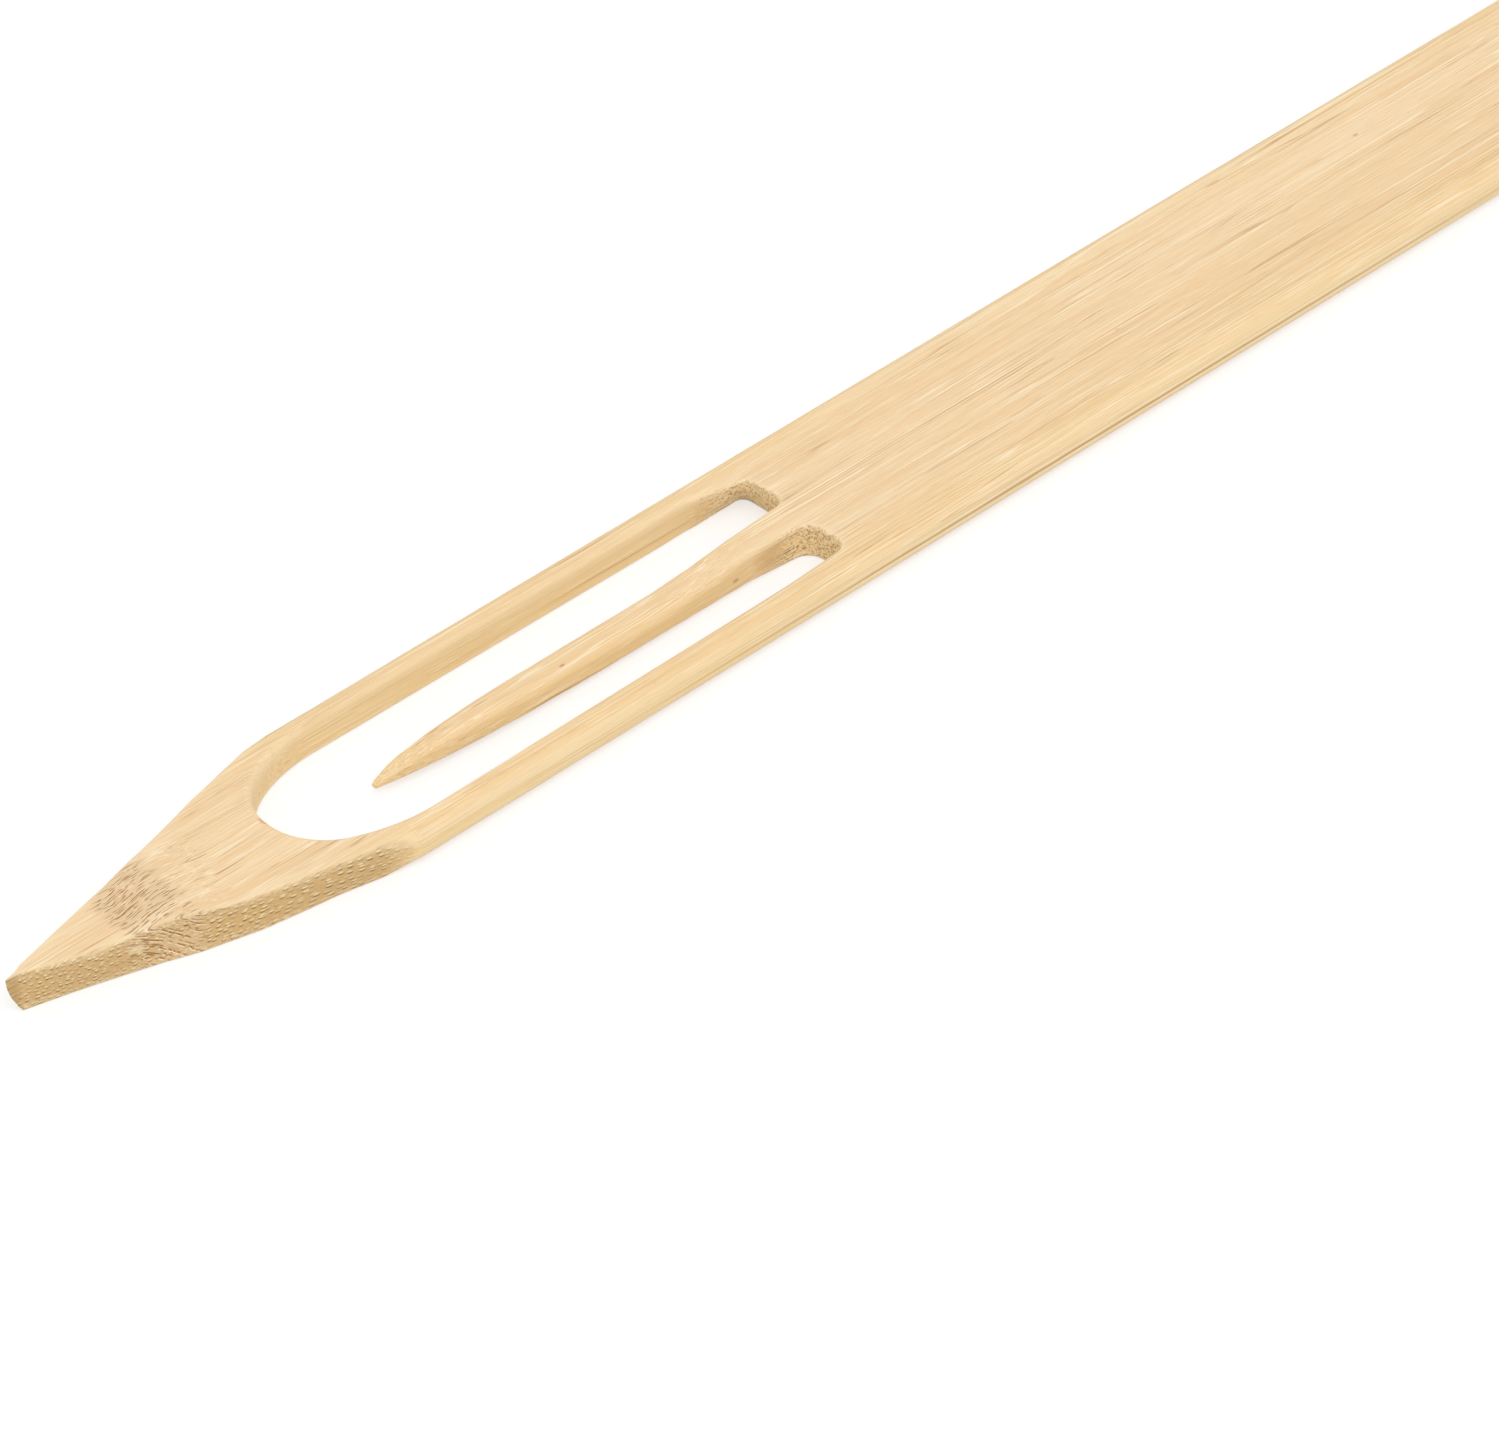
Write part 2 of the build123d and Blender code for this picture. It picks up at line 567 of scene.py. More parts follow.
@dataclass(frozen=True)
class Wood:
    """What the material knows of the wood at a place: attributes of the piece, and patterns.

    Args:
        graph: Tree that works it out.
        place: Place in the needle at rest.
        cut: How raw a knife or saw left the wood.
        worn: How much handling has polished it.
        core: Share of a strand's pale core.
        sheath: Share of the dark mark under the core: the strand's own dark rim, and painted shadow under
            the raised strand.
        band: Share of the node's rough band.
        dark: Share of the dark streaks in the band.
        pale: Share of the pale streaks in the band.
        hair: Noise of the long fine fibres.
        fluff: Noise of the short fine fibres.
        patch: Noise of the broad patches.
        crumb: Noise of the crumbs at the slot ends.
        slot_end: Share of the slot ends, told by their place along the needle.
    """

    graph: Graph
    place: Term
    cut: Term
    worn: Term
    core: Term
    sheath: Term
    band: Term
    dark: Term
    pale: Term
    hair: Term
    fluff: Term
    patch: Term
    crumb: Term
    slot_end: Term


@dataclass(frozen=True)
class BambooFinish:
    """Scraped bamboo: pale honey on its faces, darker and dashed where a knife crossed the fibres."""

    name: str = "bamboo"
    honey: Colour = paint(245, 212, 165)
    blush: Colour = paint(241, 206, 157)
    straw: Colour = paint(241, 205, 143)
    tan: Colour = paint(196, 150, 94)
    cream: Colour = CREAM
    raw: Colour = paint(208, 172, 118)
    dash: Colour = paint(246, 221, 172)
    raw_dark: Colour = paint(132, 92, 46)
    ash: Colour = paint(230, 197, 152)
    scratch: Colour = paint(160, 102, 42)
    # Painted light: lifts the eye's scraped walls, the tongue's sides and the slot ends, which lie in the
    # eye's shade
    fresh: Colour = paint(253, 226, 172)
    gloss: float = 0.35
    dull: Span = (0.5, 0.72)
    groove: float = 0.035
    groove_strength: float = 0.8
    hair_size: Size = (15.0, 0.11, 0.16)
    fluff_size: Size = (2.2, 0.07, 0.09)
    patch_size: Size = (22.0, 2.2, 1.6)
    crumb_size: Size = (0.3, 0.24, 0.28)
    band_size: Size = (80.0, 1.8, 1.2)
    level_size: Size = (60.0, 0.8, 0.8)
    slot_start: Span = (17.0, 18.5)
    slot_stop: Span = (27.0, 23.5)
    tip_end: Span = (113.3, 114.0)

    def material(self) -> bpy.types.Material:
        """Make the material.

        Returns:
            A node material that reads the rest place of the wood from the piece's own attributes.
        """
        made = bpy.data.materials.new(self.name)
        made.use_nodes = True
        graph = Graph(made.node_tree)
        wood = self.wood(graph)
        shader = graph.node("ShaderNodeBsdfPrincipled")
        shader.inputs["Specular IOR Level"].default_value = self.gloss
        graph.feed(shader.inputs["Base Color"], self.colour(wood))
        rough = wood.fluff * 0.5 + wood.cut * 0.4 + wood.band * 0.3 - wood.worn * 0.3
        graph.feed(shader.inputs["Roughness"], graph.step(rough, 0.0, 0.9, *self.dull))
        bump = graph.node("ShaderNodeBump")
        bump.inputs["Strength"].default_value = self.groove_strength
        bump.inputs["Distance"].default_value = self.groove * MM
        graph.feed(bump.inputs["Height"], self.height(wood))
        output = graph.node("ShaderNodeOutputMaterial")
        made.node_tree.links.new(bump.outputs[0], shader.inputs["Normal"])
        made.node_tree.links.new(shader.outputs[0], output.inputs[0])
        return made

    def wood(self, graph: Graph) -> Wood:
        """Read the piece's attributes, and work out the patterns from them.

        Args:
            graph: Tree to build in.

        Returns:
            What is known of the wood at a place.
        """
        place, cut, worn = (
            Term(graph, graph.node("ShaderNodeAttribute", attribute_name=name).outputs[output])
            for name, output in (("grain", "Vector"), ("cut", "Fac"), ("worn", "Fac"))
        )
        x = graph.axes(place)[0]
        core, sheath = FIBRES.strands(graph, place)
        band, dark, pale = FIBRES.scar(graph, place)
        return Wood(
            graph, place, cut, worn, core, sheath, band, dark, pale,
            hair=graph.cloud(place, self.hair_size, roughness=0.7),
            fluff=graph.cloud(place, self.fluff_size, detail=1.0),
            patch=graph.cloud(place, self.patch_size, detail=1.0),
            crumb=graph.cloud(place, self.crumb_size, detail=1.0),
            slot_end=graph.step(x, *self.slot_stop) * graph.step(x, *self.slot_start),
        )

    def colour(self, wood: Wood) -> Term:
        """Lay faces, walls with painted light in the eye, the node's band, polished edges and marks one over
        another.

        Args:
            wood: What is known of the wood at a place.

        Returns:
            Colour of the wood.
        """
        graph, patch, cut = wood.graph, wood.patch, wood.cut
        colour = self.face(wood)
        colour = graph.tint(wood.core * graph.step(patch, 0.35, 0.65, 0.06, 0.34), colour, self.cream)
        # The dark mark under each strand: its own dark rim, and painted shadow under the raised strand
        colour = graph.tint(wood.sheath * graph.step(patch, 0.35, 0.65, 0.05, 0.14), colour, self.tan)
        # Painted light on the scraped walls of the eye and the tongue's sides, which the eye's walls shade
        scraped = graph.step(cut, 0.03, 0.12) * graph.step(cut, 0.35, 0.2)
        colour = graph.tint(scraped * 0.4, colour, self.fresh)
        colour = graph.tint(cut, colour, self.wall(wood))
        colour = graph.tint(wood.band * graph.step(patch, 0.3, 0.6, 0.2, 0.8), colour, self.ash)
        colour = graph.tint(wood.pale * 0.8, colour, self.cream)
        colour = graph.tint(wood.dark * 0.85, colour, self.scratch)
        colour = graph.tint(wood.worn * graph.step(wood.hair, 0.35, 0.6, 0.0, 0.3), colour, self.cream)
        for mark in MARKS:
            colour = graph.tint(mark.share(graph, wood.place), colour, mark.colour)
        return colour

    def face(self, wood: Wood) -> Term:
        """Work out the colour of the scraped faces.

        Args:
            wood: What is known of the wood at a place.

        Returns:
            Honey, yellower at the sides and the skin, with fine lines.
        """
        graph, hair, fluff, patch = wood.graph, wood.hair, wood.fluff, wood.patch
        _, y, z = graph.axes(wood.place)
        bands = graph.cloud(wood.place, self.band_size)
        colour = graph.tint(graph.step(bands, 0.42, 0.6) * 0.8, self.honey, self.blush)
        sideward = graph.step(graph.math("ABSOLUTE", y), 5.5, 9.3)
        skinward = graph.step(z, 3.3, 1.4)
        colour = graph.tint(sideward * 0.4 + skinward * 0.65, colour, self.straw)
        colour = graph.tint(graph.step(bands, 0.45, 0.3) * 0.3, colour, self.cream)
        level = graph.cloud(wood.place, self.level_size, detail=1.0)
        vein = graph.step(graph.math("ABSOLUTE", level - 0.5), 0.014, 0.005)
        colour = graph.tint(vein * graph.step(patch, 0.4, 0.6, 0.1, 0.6), colour, self.tan)
        gleam = graph.step(graph.math("ABSOLUTE", level - 0.44), 0.016, 0.005)
        colour = graph.tint(gleam * 0.8, colour, self.cream)
        strong = graph.step(patch, 0.42, 0.6, 0.1, 0.55)
        colour = graph.tint(graph.step(hair, 0.6, 0.66) * strong, colour, self.tan)
        colour = graph.tint(graph.step(hair, 0.41, 0.36) * 0.9, colour, self.cream)
        colour = graph.tint(graph.step(fluff, 0.52, 0.75) * 0.2, colour, self.tan)
        return graph.tint(graph.step(fluff, 0.48, 0.25) * 0.2, colour, self.cream)

    def wall(self, wood: Wood) -> Term:
        """Work out the colour where a knife crossed the fibres.

        Args:
            wood: What is known of the wood at a place.

        Returns:
            Raw wood with dashes, crumbly and lifted by painted light at the slot ends, and darker at the
            tip.
        """
        graph, crumb, slot_end = wood.graph, wood.crumb, wood.slot_end
        x, _, z = graph.axes(wood.place)
        light = graph.step(wood.fluff, 0.35, 0.65) * 0.3 + graph.step(z, 2.4, 0.6) * 0.15
        colour = graph.tint(light, self.raw, self.straw)
        # Painted light on the slot ends, which lie in the slots' shade
        colour = graph.tint(slot_end * 0.9, colour, self.fresh)
        colour = graph.tint(wood.core * 0.95, colour, self.dash)
        # Dark under each pale dash: the strand's own dark rim, and painted shadow under the raised strand
        colour = graph.tint(wood.sheath * 0.85, colour, self.raw_dark)
        colour = graph.tint(graph.step(z, 2.6, 0.3) * (1 - slot_end) * 0.14, colour, self.raw_dark)
        colour = graph.tint(graph.step(crumb, 0.54, 0.66) * slot_end, colour, self.cream)
        colour = graph.tint(graph.step(crumb, 0.44, 0.32) * slot_end * 0.45, colour, self.raw_dark)
        return graph.tint(graph.step(x, *self.tip_end) * 0.25, colour, self.raw_dark)

    def height(self, wood: Wood) -> Term:
        """Work out the finest relief, which is shaded and not built.

        Args:
            wood: What is known of the wood at a place.

        Returns:
            Height of the surface, in shares of the groove's depth.
        """
        fibres = wood.hair * 0.8 + wood.fluff * 0.3
        strands = wood.core * (wood.cut * 0.5 + 0.15) - wood.sheath * (wood.cut * 0.6 + 0.1)
        crumbs = wood.crumb * wood.cut * wood.slot_end * 3.0
        return fibres + strands + wood.pale * 0.6 - wood.dark * 0.6 + crumbs


@dataclass(frozen=True)
class Relief:
    """Rough surface: soft wood sinks between hard strands, the node is pitted and the faces ripple."""

    strand_depth: float = 0.04
    scar_depth: float = 0.12
    ripple_depth: float = 0.05
    pit_size: Size = (1.3, 0.5, 0.6)
    ripple_size: Size = (4.0, 1.1, 1.1)

    def tree(self) -> bpy.types.NodeTree:
        """Build the tree that sinks the soft wood of a piece.

        Returns:
            The tree. It only ever moves a surface inwards, and not at all where `firm` is 1.
        """
        graph = GeometryTree("fibre_relief", tree_sizes(self), takes_mesh=True)
        place = graph.attribute("grain", "FLOAT_VECTOR")
        cut = graph.attribute("cut", "FLOAT")
        firm = graph.attribute("firm", "FLOAT")
        core, sheath = FIBRES.strands(graph, place)
        band = FIBRES.scar(graph, place)[0]
        soft = (1 - core) * 0.6 + sheath * 0.4
        pit = graph.step(graph.cloud(place, self.pit_size, detail=1.0), 0.48, 0.7) * band
        ripple = graph.step(graph.cloud(place, self.ripple_size, detail=1.0), 0.4, 0.7)
        depth = soft * cut * graph.size["Strand depth"] + pit * graph.size["Scar depth"]
        depth = (depth + ripple * graph.size["Ripple depth"]) * (firm - 1.0) * MM
        normal = graph.axes(Term(graph, graph.node("GeometryNodeInputNormal").outputs[0]))
        sunk = graph.node("GeometryNodeSetPosition")
        graph.tree.links.new(graph.given.outputs["Geometry"], sunk.inputs["Geometry"])
        graph.feed(sunk.inputs["Offset"], graph.vector(*(part * depth for part in normal)))
        graph.close(sunk.outputs[0])
        return graph.tree

    def carve(self, mesh: bpy.types.Mesh, material: bpy.types.Material) -> bpy.types.Mesh:
        """Carve the relief into a mesh that has the attributes `grain`, `cut` and `firm`."""
        return run_tree(self.tree(), {**tree_sizes(self), "Material": material}, mesh)


class Cut(Enum):
    """How a wall of the blade was made. The value says how raw the wood was left there."""

    SANDED = 0.1
    SCRAPED = 0.14
    KNIFED = 1.0


@dataclass(frozen=True)
class Corner:
    """Corner of an outline, with how the wall is there and on the side that starts there.

    Args:
        x: Place along the needle.
        y: Place across it.
        round: Radius of the corner, zero where it is crisp.
        soft: Radius of the edge between the upper face and the wall.
        under: Radius of the edge between the wall and the underside.
        lean: How far the lower rim stands from the upper one, along X and Y.
        cut: How the wall was made.
        pitch: Length of the steps along the side.
        butt: Whether the side is the flat joint that the tongue grows from.
    """

    x: float
    y: float
    round: float = 0.0
    soft: float = 0.25
    under: float = 0.2
    lean: tuple[float, float] = (0.0, 0.0)
    cut: Cut = Cut.KNIFED
    pitch: float = 0.2
    butt: bool = False


@dataclass
class Rim:
    """Stations along one closed outline, with the wood on its left, one row for each station."""

    upper: np.ndarray
    lean: np.ndarray
    soft: np.ndarray
    under: np.ndarray
    raw: np.ndarray
    depth: np.ndarray
    butt: np.ndarray

    @property
    def lower(self) -> np.ndarray:
        """Stations of the lower rim."""
        return self.upper + self.lean

    @staticmethod
    def inward(points: np.ndarray) -> np.ndarray:
        """Directions into the wood, as long as a mitre needs.

        Args:
            points: Stations of one rim.

        Returns:
            A vector for each station that moves it one millimetre off both its sides.
        """
        ahead = np.roll(points, -1, axis=0) - points
        ahead /= np.linalg.norm(ahead, axis=1)[:, None]
        behind = np.roll(ahead, 1, axis=0)
        middle = ahead + behind
        middle /= np.linalg.norm(middle, axis=1)[:, None]
        across = np.stack((-middle[:, 1], middle[:, 0]), axis=1)
        return across / np.maximum((middle * ahead).sum(axis=1), 0.5)[:, None]


@dataclass(frozen=True)
class Outline:
    """Closed outline drawn by its corners.

    Args:
        corners: The corners, with the wood on the left of the way round them.
        blur: How often what the walls are like is averaged with the stations beside.
        arc_step: Largest turn between two stations of an arc.
        edge_rows: Number of stations over each rounded edge of a butt joint.
    """

    corners: tuple[Corner, ...]
    blur: int = 0
    arc_step: float = math.radians(7)
    edge_rows: int = 6

    def rim(self) -> Rim:
        """Walk round the outline.

        Returns:
            Its stations.
        """
        rows: list[tuple[float, ...]] = []
        arcs = [self.arc(index) for index in range(len(self.corners))]
        for index, corner in enumerate(self.corners):
            follower = self.corners[(index + 1) % len(self.corners)]
            rows += [self.row(corner, follower, 0.0, point) for point in arcs[index]]
            start, end = arcs[index][-1], arcs[(index + 1) % len(arcs)][0]
            for share, depth in self.shares(corner, (end - start).length):
                rows.append(self.row(corner, follower, share, start.lerp(end, share), depth))
        # Columns: place in X and Y, lean in X and Y, the two radii, rawness, depth, and 1 on a butt joint
        table = np.array(rows)
        on_butt = table[:, 8]
        loose = (on_butt + np.roll(on_butt, 1)) < 0.5
        for _ in range(self.blur):
            wall = table[:, 2:7]
            smooth = (np.roll(wall, 1, axis=0) + np.roll(wall, -1, axis=0)) / 4 + wall / 2
            table[loose, 2:7] = smooth[loose]
        return Rim(table[:, 0:2], table[:, 2:4], *table[:, 4:9].T)

    def arc(self, index: int) -> list[Vector]:
        """Points of the arc at a corner.

        Args:
            index: Number of the corner.

        Returns:
            One point at a crisp corner, and otherwise points from one tangent point to the other.
        """
        corner = self.corners[index]
        before = self.corners[index - 1]
        after = self.corners[(index + 1) % len(self.corners)]
        here = Vector((corner.x, corner.y))
        inbound = (here - Vector((before.x, before.y))).normalized()
        outbound = (Vector((after.x, after.y)) - here).normalized()
        turn = math.atan2(inbound.cross(outbound), inbound.dot(outbound))
        reach = corner.round * math.tan(abs(turn) / 2)
        if reach < MM:
            return [here]
        count = max(2, math.ceil(abs(turn) * max(1 / self.arc_step, corner.round / corner.pitch)))
        side = math.copysign(corner.round, turn)
        first = here - inbound * reach
        centre = first + Vector((-inbound.y, inbound.x)) * side
        spoke = first - centre
        return [centre + Matrix.Rotation(turn * step / count, 2) @ spoke for step in range(count + 1)]

    def shares(self, corner: Corner, length: float) -> list[tuple[float, float]]:
        """Share of a side at each station between its ends.

        Args:
            corner: Corner where the side starts.
            length: Length of the side.

        Returns:
            Shares from 0 to 1, ends left out, each with its depth in from the wall, for a butt joint.
        """
        if not corner.butt:
            count = math.ceil(length / corner.pitch)
            return [(step / count, 0.0) for step in range(1, count)]
        edge = [corner.soft * (1 - math.cos(QUARTER_TURN * step / self.edge_rows))
                for step in range(1, self.edge_rows + 1)]
        middle = np.linspace(corner.soft, length - corner.soft, 2 * self.edge_rows)[1:-1]
        places = [*edge, *middle, *(length - depth for depth in reversed(edge))]
        return [(place / length, min(place, length - place)) for place in places]

    def row(self, corner: Corner, follower: Corner, share: float, point: Vector,
            depth: float = 0.0) -> tuple[float, ...]:
        """Values of one station.

        Args:
            corner: Corner before the station.
            follower: Corner after it.
            share: How far along the side the station is.
            point: Its place.
            depth: Its depth in from the walls beside a butt joint.

        Returns:
            Place, lean, radii, rawness, depth and whether it is on a butt joint.
        """
        pairs = (
            (corner.lean[0], follower.lean[0]),
            (corner.lean[1], follower.lean[1]),
            (corner.soft, follower.soft),
            (corner.under, follower.under),
            (corner.cut.value, follower.cut.value),
        )
        mixed = [start + (end - start) * share for start, end in pairs]
        return (*point, *mixed, depth, float(corner.butt))


@dataclass
class Points:
    """Points of a face, with one row for each.

    Args:
        place: Place in X and Y.
        depth: Depth in from the wall that the edge belongs to.
        radius: Radius of that edge.
        raw: How raw the wood is.
    """

    place: np.ndarray
    depth: np.ndarray
    radius: np.ndarray
    raw: np.ndarray

    @classmethod
    def join(cls, groups: list["Points"]) -> "Points":
        """Join groups of points, in their order."""
        return cls(*(np.concatenate([getattr(group, part.name) for group in groups])
                     for part in fields(cls)))


def finder(points: np.ndarray | list[np.ndarray]) -> kdtree.KDTree:
    """Tree that finds the nearest of some places in the plane.

    Args:
        points: The places.

    Returns:
        The tree.
    """
    tree = kdtree.KDTree(len(points))
    for index, (x, y) in enumerate(points):
        tree.insert((x, y, 0), index)
    tree.balance()
    return tree


def gaps(points: np.ndarray, tree: kdtree.KDTree) -> np.ndarray:
    """Distance of each point from the nearest place of a tree."""
    return np.array([tree.find((x, y, 0))[2] for x, y in points])


def neighbours(counts: list[int]) -> list[tuple[int, int]]:
    """Pair each station with the next one, round several closed outlines.

    Args:
        counts: Number of stations of each outline.

    Returns:
        The pairs of numbers, counted on from one outline to the next.
    """
    pairs = []
    start = 0
    for count in counts:
        pairs += [(start + station, start + (station + 1) % count) for station in range(count)]
        start += count
    return pairs


@dataclass
class Blade:
    """Strip with its pointed end, eye and heel fork, all but the free tongue.

    Args:
        material: Its finish.
        tip_x: Place of the tip along X. The heel is as far on the other side.
        half_width: Half the strip's width.
        thickness: Thickness of the strip beside the node.
        flex_x: Place where the tongue starts.
        long_edge: Radius of the strip's long edges.
        crest_x: Place of the node's crest on the middle line.
        crest_slant: How far the crest moves along X for each millimetre across.
        crest_reach: Half the length of the swelling.
        crest_height: Height of the swelling.
        crest_fade: Places across the strip between which the swelling rises.
        tip_rise: How much thicker the strip is between the node and the tip.
        fork_width: Width of the notch in the heel.
        fork_depth: Its depth.
        fork_corner: Radius of the outer corners of its prongs.
        mouth_corner: Radius of their inner corners.
        tongue_near: Place of the stub's near side at the flex line, across the needle.
        tongue_far: Place of its far side.
        tongue_edge: Radius of its edges.
        edge_rows: Number of rows of points over a rounded edge.
        wall_rings: Number of steps down a wall.
        wall_bow: How late a leaning wall leans. At 1 it is straight.
        clearance: Share of its depth that a point of an edge has to stand off every wall.
        spacing: Least distance between points of a face, in units of the local step.
        samples: Number of places along X at which the stretching of a face is worked out.
        merging: Distance under which two points of a face are one, in the same units.
        post_gap: Distance between the points that distances are measured from.
        seam_half_width: Half the width of the zone where the relief fades out beside the tongue.
        polish: Distances from an edge of a face where the polish starts and where it is full.
        wall_polish: The same down a wall.
    """

    material: bpy.types.Material
    tip_x: float
    half_width: float
    thickness: float
    flex_x: float
    long_edge: float = 1.4
    crest_x: float = 97.8
    crest_slant: float = 0.4
    crest_reach: float = 6.5
    crest_height: float = 0.58
    crest_fade: Span = (-6.5, -1.5)
    tip_rise: float = 0.15
    fork_width: float = 9.0
    fork_depth: float = 13.0
    fork_corner: float = 3.2
    mouth_corner: float = 1.8
    tongue_near: float = 2.05
    tongue_far: float = -1.2
    tongue_edge: float = 0.8
    edge_rows: int = 7
    wall_rings: int = 16
    wall_bow: float = 2.0
    clearance: float = 0.9
    spacing: float = 0.62
    samples: int = 2000
    merging: float = 1e-7
    post_gap: float = 0.05
    seam_half_width: float = 4.0
    polish: Span = (0.9, 0.1)
    wall_polish: Span = (0.7, 0.1)

    def outer(self) -> Outline:
        """Draw the strip, its point and the fork in its heel.

        Returns:
            The outline, with the wood on its left.
        """
        side = self.half_width
        heel = -self.tip_x
        fork = self.fork_width / 2
        depth = heel + self.fork_depth
        sanded = {"soft": self.long_edge, "under": self.long_edge, "cut": Cut.SANDED}
        return Outline((
            Corner(heel, -side, self.fork_corner, pitch=1.4, **sanded),
            Corner(70.0, -side, pitch=0.4, **sanded),
            Corner(75.7, -side, 9.0, soft=1.1, under=0.9),
            Corner(79.6, -9.12, 8.0, soft=0.35, under=0.3),
            Corner(87.5, -7.2, 20.0, soft=0.2),
            Corner(95.2, -5.1, 4.0, soft=0.2),
            Corner(101.1, -3.62, 4.0, soft=0.2),
            Corner(106.8, -2.33, 4.0, soft=0.2),
            Corner(112.6, -0.97, 1.0, soft=0.2, pitch=0.12),
            Corner(113.6, -0.55, 0.4, soft=0.15, lean=(0.0, 0.2), pitch=0.1),
            Corner(self.tip_x, -0.2, 0.02, soft=0.1, under=0.1, lean=(-1.3, 0.45), pitch=0.1),
            Corner(113.75, -0.1, 0.15, soft=0.1, under=0.1, lean=(-0.1, 0.44), pitch=0.12),
            Corner(109.2, 1.6, 3.0, soft=0.3),
            Corner(107.0, 2.25, 3.0, soft=0.6),
            Corner(103.4, 3.2, 2.0, soft=0.15, lean=(0.0, 0.2)),
            Corner(101.2, 3.75, 1.0, soft=0.35, lean=(0.0, 0.35)),
            Corner(98.1, 5.0, 1.0, soft=0.2, lean=(0.0, 0.3)),
            Corner(96.6, 5.35, 1.0, soft=0.15, lean=(0.0, 0.35)),
            Corner(92.5, 6.5, 6.0, soft=0.25, lean=(0.0, 0.3)),
            Corner(88.7, 7.35, 8.0, soft=0.3, lean=(0.0, 0.1)),
            Corner(84.6, 8.2, 8.0, soft=0.3, lean=(0.0, -0.15)),
            Corner(80.6, 9.08, 8.0, soft=0.3, lean=(0.0, -0.15)),
            Corner(76.8, side, 3.0, pitch=0.4, **sanded),
            Corner(72.0, side, pitch=1.4, **sanded),
            Corner(heel, side, self.fork_corner, pitch=0.4, **sanded),
            Corner(heel, fork, self.mouth_corner, pitch=0.5, **sanded),
            Corner(depth, fork, fork, pitch=0.5, **sanded),
            Corner(depth, -fork, fork, pitch=0.5, **sanded),
            Corner(heel, -fork, self.mouth_corner, pitch=0.4, **sanded),
        ))

    def eye(self) -> Outline:
        """Draw the eye, round its nose, its two slots and the stub that carries the tongue.

        Returns:
            The outline, with the wood on its left.
        """
        scraped = {"cut": Cut.SCRAPED, "soft": 0.7, "under": 0.3}
        stub = {"cut": Cut.SCRAPED, "soft": self.tongue_edge, "under": self.tongue_edge}
        return Outline((
            Corner(84.7, -3.8, 6.4, lean=(-0.1, 0.2), **scraped),
            Corner(77.2, -7.85, 18.0, lean=(0.0, 0.05), pitch=0.45, **scraped),
            Corner(30.0, -7.5, pitch=0.3, **scraped),
            Corner(27.1, -7.45, 3.0, lean=(0.0, -0.1), pitch=0.14, **scraped),
            Corner(22.6, -6.25, 1.5, lean=(-1.0, -1.3), pitch=0.14, soft=0.2),
            Corner(21.0, -6.0, 1.0, lean=(-1.1, -1.5), pitch=0.12, soft=0.2),
            Corner(21.0, -1.3, 1.4, lean=(-0.9, 0.0), pitch=0.14, soft=0.3),
            Corner(self.flex_x, self.tongue_far, butt=True, **stub),
            Corner(self.flex_x, self.tongue_near, pitch=0.2, **stub),
            Corner(22.0, 2.3, 1.6, lean=(-0.2, 0.0), pitch=0.12, soft=0.3),
            Corner(22.0, 7.3, 1.6, lean=(-0.3, 0.0), pitch=0.14, soft=0.2),
            Corner(30.0, 7.35, pitch=0.45, **scraped),
            Corner(77.2, 7.72, 18.0, pitch=0.3, **scraped),
            Corner(84.95, 4.2, 6.2, **scraped),
        ), blur=24)

    def column_steps(self) -> list[float]:
        """Space out the columns of points on a face.

        Returns:
            Places along X, closer together at the slot ends, the point and the node.
        """
        places = [-self.tip_x + self.long_edge]
        while places[-1] < self.tip_x:
            places.append(places[-1] + self.step_along(places[-1]))
        return places

    def step_along(self, x: float) -> float:
        """Distance between columns at a place along X."""
        places, steps = (15.0, 20.0, 30.0, 62.0, 74.0, 90.0), (1.3, 0.3, 1.0, 1.0, 0.25, 0.18)
        return float(np.interp(x, places, steps))

    def step_across(self, x: float) -> float:
        """Distance between points across the blade at a place along X."""
        return float(np.interp(x, (62.0, 74.0, 90.0), (0.19, 0.2, 0.16)))

    def stretch(self, points: np.ndarray) -> np.ndarray:
        """Map places on a face to a plane where neighbouring points lie about one unit apart.

        Args:
            points: Places in X and Y.

        Returns:
            The stretched places.
        """
        marks = np.linspace(-self.tip_x - 1, self.tip_x + 1, self.samples)
        steps = np.array([self.step_along(mark) for mark in marks])
        run = np.concatenate(([0.0], np.cumsum(np.diff(marks) / steps[1:])))
        across = np.interp(points[:, 0], marks, [self.step_across(mark) for mark in marks])
        return np.stack((np.interp(points[:, 0], marks, run), points[:, 1] / across), axis=1)

    @staticmethod
    def inside(points: np.ndarray, loops: list[np.ndarray]) -> np.ndarray:
        """Whether points lie in the wood.

        Args:
            points: Places to test.
            loops: Closed outlines, the holes among them.

        Returns:
            One truth value for each point.
        """
        odd = np.zeros(len(points), bool)
        px, py = points.T
        for loop in loops:
            for (ax, ay), (bx, by) in zip(loop, np.roll(loop, -1, axis=0)):
                if ay != by:
                    crosses = (ay > py) != (by > py)
                    odd ^= crosses & (px < (bx - ax) * (py - ay) / (by - ay) + ax)
        return odd

    def swelling(self, x: np.ndarray, y: np.ndarray) -> np.ndarray:
        """Work out the node's swelling, which fades at one edge.

        Args:
            x: Places along X.
            y: Places along Y.

        Returns:
            Heights above the strip's flat face.
        """
        offset = (x - self.crest_x - self.crest_slant * y) / self.crest_reach
        hump = np.clip(1 - offset**2, 0, 1) ** 2 * ease(y, *self.crest_fade)
        return np.maximum(self.crest_height * hump, self.tip_rise * ease(offset, 0.0, 1.0))

